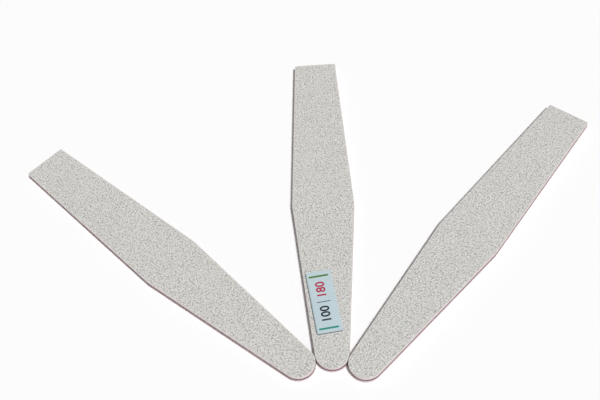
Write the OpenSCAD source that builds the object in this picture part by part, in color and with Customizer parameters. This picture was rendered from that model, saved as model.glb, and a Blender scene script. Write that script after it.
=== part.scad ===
// A set of three identical emery boards for nails, fanned out flat with their round ends together.
// Each board is a die-cut sandwich: grit, backing paper, foam, rigid core, foam, paper, grit.
// X runs across the middle board, Y along it towards its square end, and Z up from the table.
// The origin is the middle of the middle board's length, on its underside.

/* [Board outline] */
// Length of a board from its round end to its square end
board_length = 178; // [150:1:200]
// Width across the two shoulders, where a board is widest
shoulder_width = 29; // [26:0.5:34]
// Distance of the shoulders from the round end
shoulder_distance = 86; // [70:1:100]
// Radius that softens each shoulder
shoulder_radius = 12; // [3:0.5:12.5]
// Width of the square end
square_end_width = 21; // [16:0.5:24]
// Radius of the two corners of the square end
corner_radius = 0.8; // [0.5:0.1:4]
// Radius of the round end
round_end_radius = 7.3; // [6:0.1:9]

/* [Plies] */
// Thickness of the coat of grit and resin
grit_thickness = 0.15; // [0.1:0.01:0.4]
// Thickness of the backing paper under the grit
paper_thickness = 0.2; // [0.1:0.01:0.4]
// Thickness of each film of adhesive between two plies
adhesive_thickness = 0.1; // [0.05:0.01:0.2]
// Thickness of each foam cushion
foam_thickness = 0.9; // [0.5:0.1:2]
// Thickness of the rigid plastic core
core_thickness = 0.9; // [0.5:0.1:1.5]
// How far the grit stands back from the cut edge, where handling wears it off
grit_setback = 0.12; // [0.05:0.01:0.3]
// How far the foam and its adhesive stand back, because foam springs in behind the blade
foam_setback = 0.08; // [0.02:0.01:0.3]

/* [Fan] */
// Angle between the left board and the middle one
left_fan_angle = 45.5; // [32:0.5:75]
// Angle between the right board and the middle one
right_fan_angle = 40; // [36:0.5:75]
// Direction of the left board's round end from the middle one's, turned from the middle board's length
left_end_bearing = 103; // [100:1:112]
// Direction of the right board's round end from the middle one's, turned from the middle board's length
right_end_bearing = 112; // [100:1:118]
// Gap between the round ends of neighbouring boards
end_clearance = 0.2; // [0.2:0.1:2]

/* [Label] */
// Length of the stick-on label
label_length = 32; // [20:0.5:45]
// Width of the stick-on label
label_width = 11.5; // [8:0.5:12]
// Radius of the label's corners
label_corner_radius = 0.6; // [0.3:0.1:3]
// Thickness of the label's printed film
label_thickness = 0.1; // [0.06:0.01:0.2]
// Thickness of the adhesive under the label
label_adhesive_thickness = 0.04; // [0.02:0.01:0.1]
// How far the adhesive stands back from the label's edge
label_adhesive_setback = 0.15; // [0.05:0.05:0.5]
// Distance of the label's lower corner from the end of the round end, along the left edge
label_start = 9.2; // [4:0.1:20]
// Distance of the label's lower corner from the left edge
label_margin = 2.1; // [2:0.1:4]
// How far the label leans from the left edge, because it was stuck on by hand
label_lean = 2; // [0:0.5:4]

/* [Hidden] */
$fn = 96;

// The straight edges run this far inside the rings' tangents, so that arcs and edges cross cleanly.
edge_tuck = 0.002;

// The five rings that a board's outline runs around, each [x, y, radius], anticlockwise.
shoulder_y = shoulder_distance - board_length / 2;
shoulder_x = shoulder_width / 2 - shoulder_radius;
corner_x = square_end_width / 2 - corner_radius;
corner_y = board_length / 2 - corner_radius;
round_end_y = round_end_radius - board_length / 2;
BOARD_RINGS = [
    [0, round_end_y, round_end_radius],
    [shoulder_x, shoulder_y, shoulder_radius],
    [corner_x, corner_y, corner_radius],
    [-corner_x, corner_y, corner_radius],
    [-shoulder_x, shoulder_y, shoulder_radius]
];
LABEL_RINGS = [
    for (at = [[0, 0], [1, 0], [1, 1], [0, 1]]) [
        label_corner_radius + at.x * (label_width - 2 * label_corner_radius),
        label_corner_radius + at.y * (label_length - 2 * label_corner_radius),
        label_corner_radius
    ]
];

// Heights of the undersides of the plies, from the table up.
bottom_paper_z = grit_thickness;
bottom_adhesive_z = bottom_paper_z + paper_thickness;
bottom_foam_z = bottom_adhesive_z + adhesive_thickness;
lower_core_adhesive_z = bottom_foam_z + foam_thickness;
core_z = lower_core_adhesive_z + adhesive_thickness;
upper_core_adhesive_z = core_z + core_thickness;
top_foam_z = upper_core_adhesive_z + adhesive_thickness;
top_adhesive_z = top_foam_z + foam_thickness;
top_paper_z = top_adhesive_z + adhesive_thickness;
top_grit_z = top_paper_z + paper_thickness;
board_top = top_grit_z + grit_thickness;

// The centres of neighbouring round ends lie this far apart.
end_pitch = 2 * round_end_radius + end_clearance;

// Each board's name, its angle from the middle board, and the bearing of its round end.
BOARDS = [
    ["left", left_fan_angle, left_end_bearing],
    ["middle", 0, 0],
    ["right", -right_fan_angle, -right_end_bearing]
];
PLIES = [
    "top_grit", "top_paper", "top_adhesive", "top_foam", "upper_core_adhesive", "core",
    "lower_core_adhesive", "bottom_foam", "bottom_adhesive", "bottom_paper", "bottom_grit"
];

// The outward direction of the straight edge that touches ring a and then ring b.
function edge_normal(a, b) =
    let (reach = [b.x - a.x, b.y - a.y], turn = atan2(reach.y, reach.x) - acos((a.z - b.z) / norm(reach)))
    [cos(turn), sin(turn)];

// The point of a ring, less a setback, that lies furthest out in a direction.
function ring_point(ring, direction, setback = 0) = [ring.x, ring.y] + (ring.z - setback) * direction;

// The two ends of each straight edge, in order around the rings.
function edge_points(rings, setback) = [
    for (i = [0 : len(rings) - 1])
        let (a = rings[i], b = rings[(i + 1) % len(rings)], out = edge_normal(a, b))
            each [ring_point(a, out, setback), ring_point(b, out, setback)]
];

// A band's outline pulled tight around rings: straight edges between true arcs.
module taut_outline(rings, setback = 0) {
    polygon(edge_points(rings, setback + edge_tuck));
    for (ring = rings)
        translate([ring.x, ring.y])
            circle(r = ring.z - setback);
}

// One ply with the board's outline, from its underside up.
module ply(underside, thickness, setback = 0) {
    translate([0, 0, underside])
        linear_extrude(height = thickness)
            taut_outline(BOARD_RINGS, setback);
}

// Coat of grit held in resin, the face that files the nail.
module grit(underside) {
    color([0.80, 0.79, 0.77])
        ply(underside, grit_thickness, grit_setback);
}

// Paper that carries the grit.
module paper(underside) {
    color([0.93, 0.91, 0.90])
        ply(underside, paper_thickness);
}

// Film of adhesive on a foam cushion.
module adhesive(underside) {
    color([0.96, 0.93, 0.88])
        ply(underside, adhesive_thickness, foam_setback);
}

// Foam cushion that lets the face follow the nail.
module foam(underside) {
    color([0.95, 0.86, 0.89])
        ply(underside, foam_thickness, foam_setback);
}

// Rigid plastic strip that keeps the board straight.
module core(underside) {
    color([0.66, 0.22, 0.42])
        ply(underside, core_thickness);
}

// The label's outline, placed from the middle board's left edge near its round end.
module label_outline(setback = 0) {
    out = edge_normal(BOARD_RINGS[4], BOARD_RINGS[0]);
    edge_start = ring_point(BOARD_RINGS[0], out);
    edge_way = [out.y, -out.x];
    edge_angle = atan2(edge_way.y, edge_way.x) - 90;
    translate(edge_start + label_start * edge_way - label_margin * out)
        rotate(edge_angle + label_lean)
            taut_outline(LABEL_RINGS, setback);
}

module label_adhesive() {
    color([0.90, 0.90, 0.86])
        translate([0, 0, board_top])
            linear_extrude(height = label_adhesive_thickness)
                label_outline(label_adhesive_setback);
}

module label() {
    color([0.74, 0.82, 0.84])
        translate([0, 0, board_top + label_adhesive_thickness])
            linear_extrude(height = label_thickness)
                label_outline();
}

// Moves a board from the middle place to its own, around its round end.
module lay(board) {
    pitch = board[0] == "middle" ? 0 : end_pitch;
    translate([-pitch * sin(board[2]), round_end_y + pitch * cos(board[2]), 0])
        rotate(board[1])
            translate([0, -round_end_y, 0])
                children();
}

for (board = BOARDS) {
    name = board[0];
    lay(board) grit(top_grit_z);
    lay(board) paper(top_paper_z);
    lay(board) adhesive(top_adhesive_z);
    lay(board) foam(top_foam_z);
    lay(board) adhesive(upper_core_adhesive_z);
    lay(board) core(core_z);
    lay(board) adhesive(lower_core_adhesive_z);
    lay(board) foam(bottom_foam_z);
    lay(board) adhesive(bottom_adhesive_z);
    lay(board) paper(bottom_paper_z);
    lay(board) grit(0);
}
label_adhesive();
label();
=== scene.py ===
"""Three emery boards for nails, fanned out flat with their round ends together.

Every length is in metres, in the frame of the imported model: X runs across the middle board, Y along
it towards its square end, Z up from the table.
"""

import math

import bpy
import numpy as np
from bpy.props import (
    FloatProperty,
    FloatVectorProperty,
    IntProperty,
    PointerProperty,
    StringProperty,
)
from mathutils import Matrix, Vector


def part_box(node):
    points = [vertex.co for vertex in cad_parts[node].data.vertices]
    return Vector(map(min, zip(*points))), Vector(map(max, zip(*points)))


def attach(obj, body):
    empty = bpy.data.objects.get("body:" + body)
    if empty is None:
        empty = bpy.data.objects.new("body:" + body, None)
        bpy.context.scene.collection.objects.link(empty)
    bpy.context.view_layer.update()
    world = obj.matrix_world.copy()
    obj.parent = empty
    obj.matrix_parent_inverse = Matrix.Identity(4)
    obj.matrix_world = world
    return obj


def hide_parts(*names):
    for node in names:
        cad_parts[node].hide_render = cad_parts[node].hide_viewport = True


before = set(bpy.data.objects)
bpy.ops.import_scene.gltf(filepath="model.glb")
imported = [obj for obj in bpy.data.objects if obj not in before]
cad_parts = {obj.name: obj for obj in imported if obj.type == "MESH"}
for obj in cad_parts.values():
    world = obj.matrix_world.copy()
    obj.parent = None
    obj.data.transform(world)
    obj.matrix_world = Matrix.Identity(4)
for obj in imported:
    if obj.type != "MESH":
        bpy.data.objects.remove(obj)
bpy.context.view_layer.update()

bl_info = {
    "name": "Emery Boards",
    "version": (1, 0, 0),
    "blender": (4, 5, 0),
    "location": "3D View > Sidebar > Emery Boards",
    "description": "Dresses a fan of laminated emery boards with grit, foam, core and label",
    "category": "Object",
}

MM = 0.001
BOARDS = ("left", "middle", "right")
# Each face's name, and which way it looks along Z.
FACES = (("top", 1), ("bottom", -1))
# The photograph's width in pixels and the camera sensor's in millimetres.
PHOTO_WIDTH = 600
SENSOR_WIDTH = 36.0
# Nothing nearer to the camera than this is drawn.
NEAREST_SEEN = 0.01
# A made piece's outline may stray this far from the node that it replaces.
OUTLINE_TOLERANCE = 0.1 * MM
# Steps between the patterns of neighbouring boards and of faces, so that no two pieces look alike.
BOARD_STEP = 0.4
FACE_STEP = 0.1
# Fewest points on an arc of a board's outline, and fewest steps of a straight edge.
ARC_POINTS = 5
EDGE_STEPS = 2
# Rings of points up a foam cushion's edge, and rows of points over the label's round corners.
FOAM_RINGS = 9
CORNER_ROWS = 6
# The table reaches this far each way, and lies this far under the boards.
TABLE_REACH = 3.0
TABLE_GAP = 0.01 * MM


def srgb(code):
    """Linear colour, with alpha 1, of a hex code such as "#CBC9C5"."""
    parts = [int(code[i : i + 2], 16) / 255 for i in (1, 3, 5)]
    return [c / 12.92 if c <= 0.04045 else ((c + 0.055) / 1.055) ** 2.4 for c in parts] + [1.0]


def length(name, default_mm, description):
    """A length setting, given in millimetres and held in metres."""
    return FloatProperty(
        name=name, description=description, default=default_mm * MM, unit="LENGTH", precision=5
    )


def share(name, default, description):
    """A setting that is a share, from 0 to 1."""
    return FloatProperty(
        name=name, description=description, default=default, subtype="FACTOR", min=0, max=1
    )


def patch(name, millimetres, description):
    """A printed patch of the label, in millimetres: its centre across and along, its width and length."""
    sizes = [value * MM for value in millimetres]
    return FloatVectorProperty(
        name=name, description=description, default=sizes, size=4, unit="LENGTH", precision=5
    )


def angle(name, default_degrees, description):
    """An angle setting, given in degrees and held in radians."""
    turn = math.radians(default_degrees)
    return FloatProperty(name=name, description=description, default=turn, subtype="ANGLE")


def colour(name, code, description):
    """A colour setting, given as an sRGB hex code and held linear."""
    return FloatVectorProperty(
        name=name, description=description, default=srgb(code), size=4, subtype="COLOR", min=0, max=1
    )


class BoardSizes(bpy.types.PropertyGroup):
    """The outline that the three boards share, and how they are laid out."""

    board_length: length("Length", 178, "From the round end to the square end")
    shoulder_width: length("Shoulder width", 29, "Width where a board is widest")
    shoulder_distance: length("Shoulder distance", 86, "From the round end to the shoulders")
    shoulder_radius: length("Shoulder radius", 12, "Softens each shoulder")
    square_end_width: length("Square end width", 21, "Width of the square end")
    corner_radius: length("Corner radius", 0.8, "Corners of the square end")
    round_end_radius: length("Round end radius", 7.3, "Radius of the round end")
    grit_setback: length("Grit setback", 0.12, "How far the grit stands back from the cut edge")
    foam_setback: length("Foam setback", 0.08, "How far the foam stands back from the cut edge")
    left_angle: angle("Left angle", 45.5, "Turn of the left board from the middle one")
    right_angle: angle("Right angle", -40, "Turn of the right board from the middle one")
    left_bearing: angle("Left bearing", 103, "Direction of the left round end from the middle one")
    right_bearing: angle("Right bearing", -112, "Direction of the right round end from the middle one")
    end_clearance: length("End clearance", 0.2, "Gap between neighbouring round ends")


class GritLook(bpy.types.PropertyGroup):
    """Coat of aluminium oxide grit and resin with a pale anti-clog powder."""

    grain_pitch: length("Grain pitch", 0.3, "Spacing of the relief's grains, coarser than the real 0.15 mm")
    relief: length("Relief", 0.06, "Height of the tallest grains")
    edge_wear: length("Edge wear", 0.05, "How far the coat is worn down at its rim")
    wear_width: length("Wear width", 0.25, "How far the wear reaches in from the rim")
    speckle: length("Speckle", 0.28, "Size of a speckle, coarser than the real 0.15 mm so that it shows")
    clump: length("Clump", 0.8, "Spacing of the clumps that grains settle in, coarse as the speckle is")
    clump_share: share("Clump share", 0.5, "How much a clump counts against its single grains")
    height_share: share("Height share", 0.06, "How much a grain's height counts in its shade")
    fine_grain: length("Fine grain", 0.15, "Size of the grains that only catch the light, as real")
    blotch: length("Blotch", 11, "Size of the faint blotches of powder")
    blotch_share: share("Blotch share", 0.06, "How much the blotches count in the shade")
    tint: length("Tint", 1.4, "Size of the faint warm and cool tints")
    tint_share: share("Tint share", 0.12, "How strong those tints are")
    worn_share: share("Worn share", 0.55, "How much of the paper shows at the worn rim")
    dark: colour("Dark grain", "#898782", "Bare grit")
    middle: colour("Middle grain", "#D0CECA", "Grit under powder")
    pale: colour("Pale grain", "#F6F6F3", "Powder between grains")
    seed: IntProperty(name="Seed", description="Order of the random grains", default=7)


class PlyLook(bpy.types.PropertyGroup):
    """Paper, foam, adhesive and core, seen at the cut edge."""

    paper: colour("Paper", "#E4DDD9", "Backing paper")
    paper_fibre: length("Paper fibre", 0.4, "Size of a tuft of cut fibres, coarser than real")
    foam: colour("Foam", "#E6D4D9", "Closed-cell foam")
    foam_cell: length("Foam cell", 0.3, "Size of a foam cell")
    foam_hollow: length("Foam hollow", 0.1, "How far the cut foam springs in at mid height")
    foam_pit: length("Foam pit", 0.06, "Depth of the deepest cut cells")
    foam_cloud: length("Foam cloud", 3.8, "Size of the foam's paler and darker clouds")
    foam_step: length("Foam step", 0.3, "Spacing of the edge's points along the cut")
    seed: IntProperty(name="Seed", description="Order of the cut cells", default=50)
    adhesive: colour("Adhesive", "#E9DCC8", "Pressure-sensitive film")
    adhesive_dust: length("Adhesive dust", 0.55, "Size of a clot of dust on the adhesive's edge")
    core: colour("Core", "#5E364A", "Mauve polystyrene sheet")
    core_drag: length("Core drag", 0.28, "Spacing of the blade's drag lines, coarser than real")
    core_blush: length("Core blush", 6.5, "Size of the pale stress marks on the core's edge")
    blush_white: share("Blush white", 0.55, "How white the paler end of those marks is")


class LabelLook(bpy.types.PropertyGroup):
    """Pale blue stick-on label: two plain grit numbers parted by a rule, and a band across each end."""

    label_length: length("Length", 32, "Along the board")
    label_width: length("Width", 11.5, "Across the board")
    corner_radius: length("Corner radius", 0.6, "Radius of the label's corners")
    start: length("Start", 9.2, "From where the round end stops to the label's lower corner")
    margin: length("Margin", 2.1, "From the left edge to the label's lower corner")
    lean: angle("Lean", 2, "Lean from the left edge, because it was stuck on by hand")
    pitch: length("Pitch", 0.25, "Spacing of the points of the label's sheet")
    embossing: length("Embossing", 0.02, "How far the grit under the film presses into it")
    film: colour("Film", "#C3D5DB", "Label paper")
    pressed_grain: length("Pressed grain", 0.65, "Size of the bumps that show through the film")
    film_cloud: length("Film cloud", 5.5, "Size of the film's faint clouds")
    # Colour and reach of the painted shade along the label's left and lower edges.
    dust_and_painted_shade: colour("Dust", "#4E484A", "Dust that sticks along the left and lower edges")
    painted_shade_width: length("Dust width", 0.42, "How far the dust reaches in from those edges")
    black: colour("Black ink", "#1F2A2E", "Ink of the lower number and the rule")
    red: colour("Red ink", "#B0304F", "Ink of the upper number")
    green: colour("Green ink", "#4F7A35", "Ink of the upper band")
    teal: colour("Teal ink", "#2C8C80", "Ink of the lower band")
    ink_grain: length("Ink grain", 0.38, "Size of the ink's uneven spots")
    lower_number: StringProperty(name="Lower number", description="Grit number of a face", default="100")
    upper_number: StringProperty(name="Upper number", description="Grit number of a face", default="180")
    number_size: length("Number size", 5.6, "Size of the type")
    stroke_weight: length("Stroke weight", 0.12, "How much the strokes are thickened on each side")
    number_pitch: length("Number pitch", 12.6, "Between the middles of the two numbers")
    ink_height: length("Ink height", 0.01, "How far the ink stands over the film")
    rule: patch("Rule", (5.75, 16.0, 6.0, 0.35), "Rule between the numbers")
    green_band: patch("Green band", (5.75, 29.4, 8.6, 0.9), "Band across the upper end")
    teal_band: patch("Teal band", (5.75, 2.6, 8.6, 0.9), "Band across the lower end")
    seed: IntProperty(name="Seed", description="Order of the pressed grains", default=90)


class StageLook(bpy.types.PropertyGroup):
    """Table, lamp, sky and camera."""

    table: colour("Table", "#FFFFFF", "Table surface")
    sun_strength: FloatProperty(name="Sun strength", description="How bright it shines", default=2.7, min=0)
    sun_size: angle("Sun size", 9, "Apparent size of the key lamp, which softens shadows")
    sun_height: angle("Sun height", 61, "Height of the key lamp over the table")
    sun_bearing: angle("Sun bearing", -55, "Direction that the key lamp shines from, from the X axis")
    sky_strength: FloatProperty(
        name="Sky strength", description="Light from all round", default=0.22, min=0
    )
    camera_place: FloatVectorProperty(
        name="Camera place",
        description="Where the camera stands",
        default=(0.0022, -0.2866, 0.3732),
        subtype="XYZ",
        unit="LENGTH",
    )
    camera_turn: FloatVectorProperty(
        name="Camera turn",
        description="Euler angles of the camera",
        default=[math.radians(turn) for turn in (37.72, 3.48, -1.9)],
        subtype="EULER",
    )
    focal_pixels: FloatProperty(
        name="Focal length", description="In pixels of the photograph", default=997, min=1
    )


SETTINGS = {
    "emery_board": BoardSizes,
    "emery_grit": GritLook,
    "emery_ply": PlyLook,
    "emery_label": LabelLook,
    "emery_stage": StageLook,
}


def board_rings(board):
    """The five rings that the outline is pulled round, anticlockwise: their centres and their radii."""
    half = board.board_length / 2
    shoulder_x = board.shoulder_width / 2 - board.shoulder_radius
    shoulder_y = board.shoulder_distance - half
    corner_x = board.square_end_width / 2 - board.corner_radius
    centres = np.array(
        [
            (0, board.round_end_radius - half),
            (shoulder_x, shoulder_y),
            (corner_x, half - board.corner_radius),
            (-corner_x, half - board.corner_radius),
            (-shoulder_x, shoulder_y),
        ]
    )
    radii = np.array(
        [
            board.round_end_radius,
            board.shoulder_radius,
            board.corner_radius,
            board.corner_radius,
            board.shoulder_radius,
        ]
    )
    return centres, radii


def edge_turn(centres, radii, a, b):
    """Angle of the outward normal of the straight edge from ring a to ring b: the angle of the line
    between centres, less the arc cosine of the radii's difference over the distance."""
    reach = centres[b] - centres[a]
    return math.atan2(reach[1], reach[0]) - math.acos((radii[a] - radii[b]) / math.hypot(*reach))


def half_outline(board, setback, pitch):
    """Right half of the outline, from the tip of the round end to the start of the square end: half
    widths and heights along the board. Arcs are centre plus radius times (cos, sin) of an even run of
    angles, and straight edges are even steps between the arcs."""
    centres, radii = board_rings(board)
    low = edge_turn(centres, radii, 0, 1)
    high = edge_turn(centres, radii, 1, 2)
    arcs = []
    for ring, start, stop in ((0, -math.pi / 2, low), (1, low, high), (2, high, math.pi / 2)):
        radius = radii[ring] - setback
        turns = np.linspace(start, stop, max(ARC_POINTS, round((stop - start) * radius / pitch) + 1))
        arcs.append(centres[ring] + radius * np.column_stack([np.cos(turns), np.sin(turns)]))
    run = []
    for before, after in zip(arcs, arcs[1:]):
        reach = after[0] - before[-1]
        steps = max(EDGE_STEPS, round(np.hypot(*reach) / pitch))
        run += [before, before[-1] + np.linspace(0, 1, steps + 1)[1:-1, None] * reach]
    return np.vstack(run + [arcs[-1]]).T


def on_board(board, name, points):
    """Points of the middle board moved to a board: turned about the round end's centre, which is then
    moved two radii and the clearance along its bearing."""
    pitch = 2 * board.round_end_radius + board.end_clearance
    turn, bearing, reach = {
        "left": (board.left_angle, board.left_bearing, pitch),
        "middle": (0, 0, 0),
        "right": (board.right_angle, board.right_bearing, pitch),
    }[name]
    pivot = np.array([0, board.round_end_radius - board.board_length / 2])
    x, y = (points[:, :2] - pivot).T
    cos, sin = math.cos(turn), math.sin(turn)
    turned = np.column_stack([x * cos - y * sin, x * sin + y * cos])
    shift = pivot + reach * np.array([-math.sin(bearing), math.cos(bearing)])
    return np.column_stack([turned + shift, points[:, 2]])


def new_piece(name, points, quads, caps=()):
    """A mesh object at the origin from arrays of points and quads, and lists of many-sided caps."""
    mesh = bpy.data.meshes.new(name)
    faces = [*np.asarray(quads).tolist(), *[list(cap) for cap in caps]]
    mesh.from_pydata(np.asarray(points).tolist(), [], faces)
    mesh.validate()
    mesh.update()
    piece = bpy.data.objects.new(name, mesh)
    bpy.context.scene.collection.objects.link(piece)
    return piece


def keep_values(piece, name, values):
    """Keeps one number or one vector per point as an attribute that a material reads."""
    values = np.asarray(values, dtype=np.float32)
    kind, field = ("FLOAT", "value") if values.ndim == 1 else ("FLOAT_VECTOR", "vector")
    piece.data.attributes.new(name, kind, "POINT").data.foreach_set(field, values.ravel())


def pattern_place(points, order, level):
    """Where a piece's material draws its pattern: the middle board's points, moved by a step for each
    board along X and for each face along Z."""
    return points + (BOARD_STEP * order, 0, FACE_STEP * level)


def match_frame(piece, name):
    """Stops the script if a piece's outline strays from the node that it replaces."""
    box = np.array(piece.bound_box)
    made = np.concatenate([box.min(axis=0)[:2], box.max(axis=0)[:2]])
    held = np.concatenate([corner[:2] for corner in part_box(name)])
    if np.abs(made - held).max() > OUTLINE_TOLERANCE:
        raise ValueError(f"{piece.name} strays from {name}: change the board sizes")


def strewn(x, y, pitch, seed):
    """Heights from 0 to 1 of grains strewn over a plane: even random numbers on a square lattice of the
    given pitch, blended between its four nearest points by their distances in x and y."""
    column, row = (x - x.min()) / pitch, (y - y.min()) / pitch
    lattice = np.random.default_rng(seed).random((int(row.max()) + 2, int(column.max()) + 2))
    j, i = column.astype(int), row.astype(int)
    across, up = column - j, row - i
    near = lattice[i, j] * (1 - across) + lattice[i, j + 1] * across
    far = lattice[i + 1, j] * (1 - across) + lattice[i + 1, j + 1] * across
    return near * (1 - up) + far * up


def grid_quads(rows, columns):
    """Corner numbers of the quads of a grid, anticlockwise from above when rows climb in y."""
    corner = np.arange(rows - 1)[:, None] * columns + np.arange(columns - 1)[None, :]
    return np.stack([corner, corner + 1, corner + columns + 1, corner + columns], axis=-1).reshape(-1, 4)


def slab(x, y, outer, inner):
    """Points, quads and cap of a closed slab: a grid of points (x, y, outer) whose rim drops straight to
    the plane z = inner, which one flat face closes. The rim runs along the first row, up the right side,
    back along the last row and down the left side."""
    rows, columns = x.shape
    right = np.arange(1, rows) * columns + columns - 1
    back = (rows - 1) * columns + np.arange(columns - 2, -1, -1)
    left = np.arange(rows - 2, 0, -1) * columns
    rim = np.concatenate([np.arange(columns), right, back, left])
    sheet = np.stack([x, y, outer], axis=-1).reshape(-1, 3)
    floor = sheet[rim] * (1, 1, 0) + (0, 0, inner)
    low = len(sheet) + np.arange(len(rim))
    walls = np.stack([low, np.roll(low, -1), np.roll(rim, -1), rim], axis=-1)
    return np.vstack([sheet, floor]), np.vstack([grid_quads(rows, columns), walls]), low[::-1]


def on_slab(values, points, rest):
    """Values of a slab's grid points followed by one value for the points of its floor."""
    return np.concatenate([values.ravel(), np.full(len(points) - values.size, rest)])


def node(tree, kind, settings=None, links=None):
    """Adds a node, sets its properties and unlinked inputs, and links its inputs."""
    made = tree.nodes.new(kind)
    for key, value in (settings or {}).items():
        if isinstance(key, str) and hasattr(made, key):
            setattr(made, key, value)
        else:
            made.inputs[key].default_value = value
    for key, source in (links or {}).items():
        tree.links.new(source, made.inputs[key])
    return made


def new_material(name):
    """An empty node material with its output node."""
    material = bpy.data.materials.new(name)
    material.use_nodes = True
    material.node_tree.nodes.clear()
    return material, material.node_tree, material.node_tree.nodes.new("ShaderNodeOutputMaterial")


def finish_material(tree, output, settings, links):
    """Principled shader with its plain settings and its linked sockets, on the material's output."""
    shader = node(tree, "ShaderNodeBsdfPrincipled", settings, links)
    tree.links.new(shader.outputs[0], output.inputs["Surface"])


def mottled(tree, base, shade, pattern, strength, depth):
    """Colour and normal of a surface with a fine pattern: the base colour is multiplied by the shade, and
    the pattern raises the surface by up to the depth."""
    tone = node(
        tree,
        "ShaderNodeMix",
        {"data_type": "RGBA", "blend_type": "MULTIPLY", "Factor": 1.0, "A": base},
        {"B": shade},
    )
    bump = node(tree, "ShaderNodeBump", {"Strength": strength, "Distance": depth}, {"Height": pattern})
    return tone.outputs["Result"], bump.outputs[0]


def dress(piece, material):
    """Gives a piece one material."""
    piece.data.materials.clear()
    piece.data.materials.append(material)


def abrasive_grit(look, paper):
    """Aluminium oxide grit in resin, laid upright by static charge: each grain catches the light its own
    way, so the coat looks speckled. A powder that stops clogging makes it pale and matt, and the paper
    shows through where handling wears the rim."""
    material, tree, output = new_material("aluminium oxide grit coat")
    place = node(tree, "ShaderNodeAttribute", {"attribute_name": "place"}).outputs["Vector"]
    height = node(tree, "ShaderNodeAttribute", {"attribute_name": "height"}).outputs["Fac"]
    wear = node(tree, "ShaderNodeAttribute", {"attribute_name": "wear"}).outputs["Fac"]
    grains = node(tree, "ShaderNodeTexVoronoi", {"Scale": 1 / look.speckle}, {"Vector": place})
    speckle = node(tree, "ShaderNodeSeparateColor", {}, {0: grains.outputs["Color"]}).outputs[0]
    clumps = node(
        tree,
        "ShaderNodeTexVoronoi",
        {"voronoi_dimensions": "2D", "Scale": 1 / look.clump, "Randomness": 0.9},
        {"Vector": place},
    )
    # A grain is paler in the middle of its clump and darker between clumps.
    crowd = node(
        tree,
        "ShaderNodeMapRange",
        {"From Min": 0.7, "From Max": 0.1},
        {"Value": clumps.outputs["Distance"]},
    )
    powder = node(
        tree, "ShaderNodeTexNoise", {"Scale": 1 / look.blotch, "Detail": 3.0}, {"Vector": place}
    ).outputs["Fac"]
    shade = speckle
    for pattern, part in (
        (crowd.outputs[0], look.clump_share),
        (height, look.height_share),
        (powder, look.blotch_share),
    ):
        blend = {"data_type": "FLOAT", "Factor": part}
        shade = node(tree, "ShaderNodeMix", blend, {"A": shade, "B": pattern}).outputs[0]
    ramp = node(tree, "ShaderNodeValToRGB", {}, {"Fac": shade})
    stops = ramp.color_ramp.elements
    stops[0].color = look.dark
    stops[1].color = look.pale
    stops.new(0.5).color = look.middle
    tints = node(tree, "ShaderNodeTexNoise", {"Scale": 1 / look.tint, "Detail": 1.0}, {"Vector": place})
    tinted = node(
        tree,
        "ShaderNodeMix",
        {"data_type": "RGBA", "blend_type": "SOFT_LIGHT", "Factor": look.tint_share},
        {"A": ramp.outputs[0], "B": tints.outputs["Color"]},
    )
    bare = node(tree, "ShaderNodeMath", {"operation": "MULTIPLY", 1: look.worn_share}, {0: wear})
    coat = node(
        tree,
        "ShaderNodeMix",
        {"data_type": "RGBA", "B": paper},
        {"Factor": bare.outputs[0], "A": tinted.outputs["Result"]},
    )
    fine = node(tree, "ShaderNodeTexVoronoi", {"Scale": 1 / look.fine_grain}, {"Vector": place})
    bump = node(
        tree,
        "ShaderNodeBump",
        {"Strength": 0.4, "Distance": 0.25 * look.relief},
        {"Height": fine.outputs["Distance"]},
    )
    rough = node(tree, "ShaderNodeMapRange", {"To Min": 0.75, "To Max": 0.98}, {"Value": speckle})
    finish_material(
        tree,
        output,
        {"Specular IOR Level": 0.3, "IOR": 1.6},
        {"Base Color": coat.outputs["Result"], "Normal": bump.outputs[0], "Roughness": rough.outputs[0]},
    )
    return material


def grit_sheet(board, look):
    """Grid over the face of a coat, each row as wide as the outline there, and the wear of its points,
    exp(-d / wear width) at a distance d from the nearer of the side, measured across, and the square end.
    The tip of the round end is a single point, and its row is left out."""
    half_width, along = half_outline(board, board.grit_setback, look.grain_pitch)
    half_width, along = half_width[1:, None], along[1:, None]
    columns = round(board.shoulder_width / look.grain_pitch)
    x = half_width * np.linspace(-1, 1, columns)
    y = np.repeat(along, columns, axis=1)
    side = half_width - np.abs(x)
    end = board.board_length / 2 - board.grit_setback - y
    return x, y, np.exp(-np.minimum(side, end) / look.wear_width)


class EMERY_OT_grit(bpy.types.Operator):
    """Coat of grit on both faces of each board"""

    bl_idname = "emery.grit"
    bl_label = "Grit coats"

    def execute(self, context):
        scene = context.scene
        board, look = scene.emery_board, scene.emery_grit
        x, y, worn = grit_sheet(board, look)
        material = abrasive_grit(look, scene.emery_ply.paper)
        for order, name in enumerate(BOARDS):
            for face, up in FACES:
                low, high = (corner[2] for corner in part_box(f"{name}_{face}_grit"))
                outer, inner = (high, low) if up > 0 else (low, high)
                grains = strewn(x, y, look.grain_pitch, look.seed + len(FACES) * order + (up > 0))
                # The face sinks by up to the relief between grains, and by the edge wear at the rim.
                depth = look.relief * (1 - grains) + look.edge_wear * worn
                points, quads, cap = slab(x, y, outer - up * depth, inner)
                placed = on_board(board, name, points)
                # Faces that look down list their corners the other way round.
                piece = new_piece(f"{name}_{face}_grit_coat", placed, quads[:, ::up], [cap[::up]])
                keep_values(piece, "place", pattern_place(points, order, up))
                keep_values(piece, "height", on_slab(grains, points, 0.5))
                keep_values(piece, "wear", on_slab(worn, points, 1.0))
                dress(piece, material)
                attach(piece, f"{name}_board")
                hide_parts(f"{name}_{face}_grit")
                match_frame(piece, f"{name}_{face}_grit")
        return {"FINISHED"}


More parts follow.
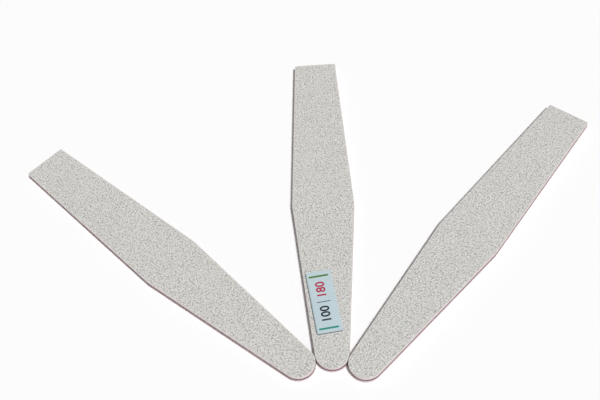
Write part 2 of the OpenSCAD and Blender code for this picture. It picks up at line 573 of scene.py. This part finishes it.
def closed_cell_foam(look):
    """Polyethylene foam, slit by a steel rule: cut cells pit the edge, with painted shade in each pit, and
    it looks chalky and pinkish.
    """
    material, tree, output = new_material("closed-cell polyethylene foam")
    place = node(tree, "ShaderNodeAttribute", {"attribute_name": "place"}).outputs["Vector"]
    cells = node(tree, "ShaderNodeTexVoronoi", {"Scale": 1 / look.foam_cell}, {"Vector": place})
    depth = cells.outputs["Distance"]
    cloud = node(
        tree, "ShaderNodeTexNoise", {"Scale": 1 / look.foam_cloud, "Detail": 3.0}, {"Vector": place}
    ).outputs["Fac"]
    # Each cut cell is painted darker towards its middle: painted shade in its pit.
    painted_pit_shade = node(
        tree,
        "ShaderNodeMapRange",
        {"From Min": 0.0, "From Max": 0.7, "To Min": 0.72, "To Max": 1.0},
        {"Value": depth},
    )
    clouded = node(
        tree,
        "ShaderNodeMapRange",
        {"From Min": 0.3, "From Max": 0.7, "To Min": 0.94, "To Max": 1.0},
        {"Value": cloud},
    )
    shade = node(
        tree, "ShaderNodeMath", {"operation": "MULTIPLY"}, {0: painted_pit_shade.outputs[0], 1: clouded.outputs[0]}
    )
    tone, normal = mottled(
        tree, look.foam, shade.outputs[0], depth, strength=0.7, depth=0.2 * look.foam_cell
    )
    finish_material(
        tree,
        output,
        {"Roughness": 0.9, "Specular IOR Level": 0.25},
        {"Base Color": tone, "Normal": normal},
    )
    return material


def outward(x, y):
    """Unit normals of a closed anticlockwise loop: each point's chord between its neighbours, turned a
    quarter turn clockwise."""
    dx = np.roll(x, -1) - np.roll(x, 1)
    dy = np.roll(y, -1) - np.roll(y, 1)
    size = np.hypot(dx, dy)
    return dy / size, -dx / size


def foam_loop(board, look):
    """The foam's outline as a closed anticlockwise loop: its right half, then that half's mirror image."""
    half_width, along = half_outline(board, board.foam_setback, look.foam_step)
    return np.concatenate([half_width, -half_width[:0:-1]]), np.concatenate([along, along[:0:-1]])


def cut_edge(look, x, y, low, high, seed):
    """Rings of points up a cushion's cut edge, drawn in along the loop's normals. At a share t of the
    height they are drawn in by 4 t (1 - t) times the hollow, so by nothing at both faces and by all of it
    half way, and between the faces also by the pit's depth times the cube of an even random number."""
    share_up = np.linspace(0, 1, FOAM_RINGS)[:, None]
    chance = np.random.default_rng(seed).random((FOAM_RINGS, len(x)))
    pits = look.foam_pit * chance**3 * (share_up > 0) * (share_up < 1)
    inset = 4 * share_up * (1 - share_up) * look.foam_hollow + pits
    out_x, out_y = outward(x, y)
    z = np.broadcast_to(low + share_up * (high - low), inset.shape)
    return np.stack([x - inset * out_x, y - inset * out_y, z], axis=-1).reshape(-1, 3)


def tube_faces(rings, count):
    """Quads between the rings of points of an upright tube, and the two caps that close it."""
    first = np.arange(rings - 1)[:, None] * count
    base = first + np.arange(count)
    turn = first + np.roll(np.arange(count), -1)
    walls = np.stack([base, turn, turn + count, base + count], axis=-1).reshape(-1, 4)
    return walls, [np.arange(count)[::-1], (rings - 1) * count + np.arange(count)]


class EMERY_OT_foam(bpy.types.Operator):
    """Foam cushions, whose cut edge springs in at mid height"""

    bl_idname = "emery.foam"
    bl_label = "Foam cushions"

    def execute(self, context):
        scene = context.scene
        board, look = scene.emery_board, scene.emery_ply
        x, y = foam_loop(board, look)
        walls, caps = tube_faces(FOAM_RINGS, len(x))
        material = closed_cell_foam(look)
        for order, name in enumerate(BOARDS):
            for number, (face, _) in enumerate(FACES):
                low, high = (corner[2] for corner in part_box(f"{name}_{face}_foam"))
                points = cut_edge(look, x, y, low, high, look.seed + len(FACES) * order + number)
                placed = on_board(board, name, points)
                piece = new_piece(f"{name}_{face}_foam_cushion", placed, walls, caps)
                keep_values(piece, "place", pattern_place(points, order, number))
                dress(piece, material)
                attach(piece, f"{name}_board")
                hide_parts(f"{name}_{face}_foam")
                match_frame(piece, f"{name}_{face}_foam")
        return {"FINISHED"}


def cut_paper(look):
    """Latex-treated paper, slit by a steel rule: short fibres stand out along the pale edge."""
    material, tree, output = new_material("latex backing paper")
    place = node(tree, "ShaderNodeTexCoord").outputs["Object"]
    lying = node(tree, "ShaderNodeMapping", {"Scale": (1.0, 1.0, 6.0)}, {"Vector": place}).outputs[0]
    fibres = node(
        tree,
        "ShaderNodeTexNoise",
        {"Scale": 1 / look.paper_fibre, "Detail": 4.0, "Roughness": 0.7},
        {"Vector": lying},
    ).outputs["Fac"]
    shade = node(tree, "ShaderNodeMapRange", {"To Min": 0.82, "To Max": 1.08}, {"Value": fibres})
    tone, normal = mottled(tree, look.paper, shade.outputs[0], fibres, strength=0.5, depth=0.04 * MM)
    finish_material(
        tree,
        output,
        {"Roughness": 0.88, "Specular IOR Level": 0.3},
        {"Base Color": tone, "Normal": normal},
    )
    return material


def tacky_film(look):
    """Acrylic transfer adhesive: a clear to cream film whose cut edge shines a little and holds dust."""
    material, tree, output = new_material("acrylic transfer adhesive")
    place = node(tree, "ShaderNodeTexCoord").outputs["Object"]
    dust_and_painted_shade = node(
        tree, "ShaderNodeTexNoise", {"Scale": 1 / look.adhesive_dust, "Detail": 3.0}, {"Vector": place}
    ).outputs["Fac"]
    shade = node(tree, "ShaderNodeMapRange", {"To Min": 0.8, "To Max": 1.05}, {"Value": dust_and_painted_shade})
    rough = node(tree, "ShaderNodeMapRange", {"To Min": 0.3, "To Max": 0.6}, {"Value": dust_and_painted_shade})
    tone, normal = mottled(tree, look.adhesive, shade.outputs[0], dust_and_painted_shade, strength=0.3, depth=0.02 * MM)
    finish_material(
        tree,
        output,
        {"IOR": 1.47},
        {"Base Color": tone, "Normal": normal, "Roughness": rough.outputs[0]},
    )
    return material


def cut_polystyrene(look):
    """High-impact polystyrene sheet, die cut: the blade leaves fine upright drag lines and pale marks."""
    material, tree, output = new_material("die-cut polystyrene")
    place = node(tree, "ShaderNodeTexCoord").outputs["Object"]
    upright = node(tree, "ShaderNodeMapping", {"Scale": (1.0, 1.0, 0.08)}, {"Vector": place}).outputs[0]
    drag = node(
        tree,
        "ShaderNodeTexNoise",
        {"Scale": 1 / look.core_drag, "Detail": 3.0, "Roughness": 0.6},
        {"Vector": upright},
    ).outputs["Fac"]
    shade = node(tree, "ShaderNodeMapRange", {"To Min": 0.75, "To Max": 1.2}, {"Value": drag})
    rough = node(tree, "ShaderNodeMapRange", {"To Min": 0.45, "To Max": 0.7}, {"Value": drag})
    tone, normal = mottled(tree, look.core, shade.outputs[0], drag, strength=0.4, depth=0.03 * MM)
    blush = node(
        tree, "ShaderNodeTexNoise", {"Scale": 1 / look.core_blush, "Detail": 2.0}, {"Vector": place}
    ).outputs["Fac"]
    stress = node(
        tree,
        "ShaderNodeMapRange",
        {"From Min": 0.5, "From Max": 0.75, "To Min": 0.0, "To Max": 0.25},
        {"Value": blush},
    )
    pale = [c + look.blush_white * (1 - c) for c in look.core]
    blushed = node(
        tree, "ShaderNodeMix", {"data_type": "RGBA", "B": pale}, {"Factor": stress.outputs[0], "A": tone}
    ).outputs["Result"]
    finish_material(
        tree,
        output,
        {"IOR": 1.59},
        {"Base Color": blushed, "Normal": normal, "Roughness": rough.outputs[0]},
    )
    return material


class EMERY_OT_plies(bpy.types.Operator):
    """Finishes of the paper, adhesive and core, which keep their own solids"""

    bl_idname = "emery.plies"
    bl_label = "Paper, adhesive and core"

    def execute(self, context):
        look = context.scene.emery_ply
        finishes = {
            "paper": cut_paper(look),
            "adhesive": tacky_film(look),
            "core": cut_polystyrene(look),
        }
        for name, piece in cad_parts.items():
            kind = name.split("_")[-1]
            if kind in finishes and not name.startswith("label"):
                dress(piece, finishes[kind])
        dress(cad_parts["label_adhesive"], finishes["adhesive"])
        return {"FINISHED"}


def satin_label(look):
    """Coated label paper over grit: pale blue and satin, with the grains showing through as small bumps.
    A thin line of painted shade darkens it along its left and lower edges."""
    material, tree, output = new_material("coated label paper")
    place = node(tree, "ShaderNodeTexCoord").outputs["Object"]
    rim = node(tree, "ShaderNodeAttribute", {"attribute_name": "rim"}).outputs["Fac"]
    pressed = node(
        tree, "ShaderNodeTexNoise", {"Scale": 1 / look.pressed_grain, "Detail": 2.0}, {"Vector": place}
    ).outputs["Fac"]
    cloud = node(
        tree, "ShaderNodeTexNoise", {"Scale": 1 / look.film_cloud, "Detail": 3.0}, {"Vector": place}
    ).outputs["Fac"]
    fine = node(tree, "ShaderNodeMapRange", {"To Min": 0.94, "To Max": 1.05}, {"Value": pressed})
    broad = node(tree, "ShaderNodeMapRange", {"To Min": 0.95, "To Max": 1.05}, {"Value": cloud})
    shade = node(
        tree, "ShaderNodeMath", {"operation": "MULTIPLY"}, {0: fine.outputs[0], 1: broad.outputs[0]}
    )
    rough = node(tree, "ShaderNodeMapRange", {"To Min": 0.42, "To Max": 0.6}, {"Value": pressed})
    tone, normal = mottled(tree, look.film, shade.outputs[0], pressed, strength=0.4, depth=0.03 * MM)
    # Painted shade darkens the film along its left and lower edges.
    painted_shade_film = node(
        tree, "ShaderNodeMix", {"data_type": "RGBA", "B": look.dust_and_painted_shade}, {"Factor": rim, "A": tone}
    ).outputs["Result"]
    finish_material(
        tree,
        output,
        {"IOR": 1.5},
        {"Base Color": painted_shade_film, "Normal": normal, "Roughness": rough.outputs[0]},
    )
    return material


def printed_ink(name, base, grain):
    """Offset ink on label paper: slightly uneven, a little glossier than the paper."""
    material, tree, output = new_material(name)
    place = node(tree, "ShaderNodeTexCoord").outputs["Object"]
    cover = node(tree, "ShaderNodeTexNoise", {"Scale": 1 / grain, "Detail": 3.0}, {"Vector": place})
    spots = cover.outputs["Fac"]
    shade = node(tree, "ShaderNodeMapRange", {"To Min": 0.8, "To Max": 1.3}, {"Value": spots})
    tone, normal = mottled(tree, base, shade.outputs[0], spots, strength=0.2, depth=0.01 * MM)
    finish_material(
        tree,
        output,
        {"Roughness": 0.42, "IOR": 1.5},
        {"Base Color": tone, "Normal": normal},
    )
    return material


def on_label(board, look, points):
    """Points of the label's own frame, from its lower left corner, moved onto the middle board. The corner
    lies the start along the left edge's line and the margin in from it, and the label is turned by that
    edge's own turn from the board's length and by the lean."""
    centres, radii = board_rings(board)
    edge = edge_turn(centres, radii, len(radii) - 1, 0)
    out = np.array([math.cos(edge), math.sin(edge)])
    way = np.array([out[1], -out[0]])
    corner = centres[0] + radii[0] * out + look.start * way - look.margin * out
    turn = math.atan2(way[1], way[0]) - math.pi / 2 + look.lean
    cos, sin = math.cos(turn), math.sin(turn)
    x, y, z = np.asarray(points).T
    return np.column_stack([corner[0] + x * cos - y * sin, corner[1] + x * sin + y * cos, z])


def round_cornered(width, reach, radius, pitch):
    """Grid of points over a rectangle with round corners: rows from end to end, each as wide as the
    width less what the corner's circle takes off there, radius less the root of radius^2 - depth^2."""
    arc = radius * (1 - np.cos(np.linspace(0, math.pi / 2, CORNER_ROWS)))
    straight = np.linspace(radius, reach - radius, round((reach - 2 * radius) / pitch))
    rows = np.concatenate([arc[:-1], straight, reach - arc[-2::-1]])
    depth = np.maximum(0, radius - np.minimum(rows, reach - rows))
    taken = radius - np.sqrt(radius**2 - depth**2)
    across = np.linspace(0, 1, round(width / pitch))
    x = taken[:, None] + across * (width - 2 * taken[:, None])
    return x, np.repeat(rows[:, None], len(across), axis=1)


def embossed_film(board, look):
    """The label's film: a sheet as wide and long as the label, which sinks by up to the embossing where
    the grains strewn under it are low. Its rim value, exp(-(d / painted shade width)^2) at a distance d
    from the nearer of the left and the lower edge, is how much painted shade darkens the film there."""
    low, high = (corner[2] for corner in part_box("label"))
    x, y = round_cornered(look.label_width, look.label_length, look.corner_radius, look.pitch)
    pressed = look.embossing * (1 - strewn(x, y, look.pitch, look.seed))
    points, quads, cap = slab(x, y, high - pressed, low)
    film = new_piece("label_film", on_label(board, look, points), quads, [cap])
    # Strength of the painted shade: full at the left and lower edges, fading inwards.
    rim = np.exp(-((np.minimum(x, y) / look.painted_shade_width) ** 2))
    keep_values(film, "rim", on_slab(rim, points, 0.0))
    dress(film, satin_label(look))
    return film


def printed_patch(name, printed, board, look, low, high):
    """A closed box of ink, which reaches half the patch's width and length each way from its centre."""
    across, along, width, reach = printed
    x, y = np.meshgrid([across - width / 2, across + width / 2], [along - reach / 2, along + reach / 2])
    points, quads, cap = slab(x, y, np.full_like(x, high), low)
    return new_piece(name, on_label(board, look, points), quads, [cap])


def printed_number(name, body, board, look, centre, low, high):
    """A number set upwards along the label with its tops to the left: the type's own x runs along the
    label and its y against the label's x, both from the number's centre. Its ink runs from low to high."""
    text = bpy.data.curves.new(name, "FONT")
    text.body = body
    text.size = look.number_size
    text.offset = look.stroke_weight
    text.align_x = "CENTER"
    text.align_y = "CENTER"
    text.extrude = (high - low) / 2
    holder = bpy.data.objects.new(name, text)
    mesh = bpy.data.meshes.new_from_object(holder)
    mesh.name = name
    bpy.data.objects.remove(holder)
    bpy.data.curves.remove(text)
    flat = np.empty(3 * len(mesh.vertices))
    mesh.vertices.foreach_get("co", flat)
    along, up, height = flat.reshape(-1, 3).T
    points = np.column_stack([centre[0] - up, centre[1] + along, (low + high) / 2 + height])
    mesh.vertices.foreach_set("co", on_label(board, look, points).ravel())
    mesh.update()
    piece = bpy.data.objects.new(name, mesh)
    bpy.context.scene.collection.objects.link(piece)
    return piece


class EMERY_OT_label(bpy.types.Operator):
    """Pale blue label, embossed by the grit under it, with plain grit numbers, a rule and two bands"""

    bl_idname = "emery.label"
    bl_label = "Label"

    def execute(self, context):
        board, look = context.scene.emery_board, context.scene.emery_label
        film = embossed_film(board, look)
        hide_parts("label")
        match_frame(film, "label")
        pieces = [film]
        inks = {
            name: printed_ink(f"{name} printing ink", getattr(look, name), look.ink_grain)
            for name in ("black", "red", "green", "teal")
        }
        film_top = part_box("label")[1][2]
        ink_foot, ink_top = film_top - look.embossing, film_top + look.ink_height
        for name, ink, printed in (
            ("label_rule", "black", look.rule),
            ("label_green_band", "green", look.green_band),
            ("label_teal_band", "teal", look.teal_band),
        ):
            piece = printed_patch(name, printed, board, look, ink_foot, ink_top)
            dress(piece, inks[ink])
            pieces.append(piece)
        for name, ink, body, side in (
            ("label_lower_number", "black", look.lower_number, -1),
            ("label_upper_number", "red", look.upper_number, 1),
        ):
            centre = (look.label_width / 2, look.label_length / 2 + side * look.number_pitch / 2)
            piece = printed_number(name, body, board, look, centre, ink_foot, ink_top)
            dress(piece, inks[ink])
            pieces.append(piece)
        for piece in pieces:
            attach(piece, "middle_board")
        return {"FINISHED"}


def white_table(look):
    """Matt white table top, which takes the boards' shadows and nothing else."""
    material, tree, output = new_material("white table top")
    surface = node(tree, "ShaderNodeBsdfDiffuse", {"Color": look.table})
    tree.links.new(surface.outputs[0], output.inputs["Surface"])
    return material


def key_lamp(look):
    """Large lamp far off, which shines down from its height and bearing and throws soft shadows."""
    lamp = bpy.data.lights.new("key lamp", "SUN")
    lamp.energy = look.sun_strength
    lamp.angle = look.sun_size
    sun = bpy.data.objects.new("key lamp", lamp)
    sun.rotation_euler = (math.pi / 2 - look.sun_height, 0, look.sun_bearing + math.pi / 2)
    return sun


def studio_world(look):
    """World that lights the boards softly from all round and looks white to the camera."""
    world = bpy.data.worlds.new("studio")
    world.use_nodes = True
    tree = world.node_tree
    tree.nodes.clear()
    sky = node(tree, "ShaderNodeBackground", {"Color": (1, 1, 1, 1), "Strength": look.sky_strength})
    seen = node(tree, "ShaderNodeBackground", {"Color": (1, 1, 1, 1), "Strength": 1.0})
    ray = node(tree, "ShaderNodeLightPath").outputs["Is Camera Ray"]
    shown = node(tree, "ShaderNodeMixShader", {}, {0: ray, 1: sky.outputs[0], 2: seen.outputs[0]})
    out = tree.nodes.new("ShaderNodeOutputWorld")
    tree.links.new(shown.outputs[0], out.inputs["Surface"])
    return world


def photo_camera(look):
    """Camera at the photograph's viewing angle: its focal length is the sensor's width times the focal
    length in pixels over the picture's width in pixels."""
    lens = bpy.data.cameras.new("camera")
    lens.sensor_fit = "HORIZONTAL"
    lens.sensor_width = SENSOR_WIDTH
    lens.lens = SENSOR_WIDTH * look.focal_pixels / PHOTO_WIDTH
    lens.clip_start = NEAREST_SEEN
    camera = bpy.data.objects.new("camera", lens)
    camera.location = look.camera_place
    camera.rotation_euler = look.camera_turn
    return camera


class EMERY_OT_stage(bpy.types.Operator):
    """Table, lamp, sky and camera"""

    bl_idname = "emery.stage"
    bl_label = "Stage"

    def execute(self, context):
        scene = context.scene
        look = scene.emery_stage
        corners = TABLE_REACH * np.array([(-1, -1, 0), (1, -1, 0), (1, 1, 0), (-1, 1, 0)])
        table = new_piece("table", corners - (0, 0, TABLE_GAP), [(0, 1, 2, 3)])
        dress(table, white_table(look))
        scene.collection.objects.link(key_lamp(look))
        scene.world = studio_world(look)
        scene.camera = photo_camera(look)
        scene.collection.objects.link(scene.camera)
        scene.view_settings.view_transform = "Standard"
        return {"FINISHED"}


OPERATORS = (EMERY_OT_grit, EMERY_OT_foam, EMERY_OT_plies, EMERY_OT_label, EMERY_OT_stage)


class EMERY_PT_panel(bpy.types.Panel):
    """Lists the steps that dress the boards"""

    bl_idname = "EMERY_PT_panel"
    bl_label = "Emery Boards"
    bl_space_type = "VIEW_3D"
    bl_region_type = "UI"
    bl_category = "Emery Boards"

    def draw(self, context):
        for operator in OPERATORS:
            self.layout.operator(operator.bl_idname)


CLASSES = (*SETTINGS.values(), *OPERATORS, EMERY_PT_panel)


def register():
    """Registers the classes and gives the scene its settings."""
    for item in CLASSES:
        bpy.utils.register_class(item)
    for name, group in SETTINGS.items():
        setattr(bpy.types.Scene, name, PointerProperty(type=group))


def unregister():
    """Takes back what register did."""
    for name in SETTINGS:
        delattr(bpy.types.Scene, name)
    for item in reversed(CLASSES):
        bpy.utils.unregister_class(item)


def main():
    """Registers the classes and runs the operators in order."""
    register()
    bpy.ops.emery.grit()
    bpy.ops.emery.foam()
    bpy.ops.emery.plies()
    bpy.ops.emery.label()
    bpy.ops.emery.stage()


if __name__ == "__main__":
    main()
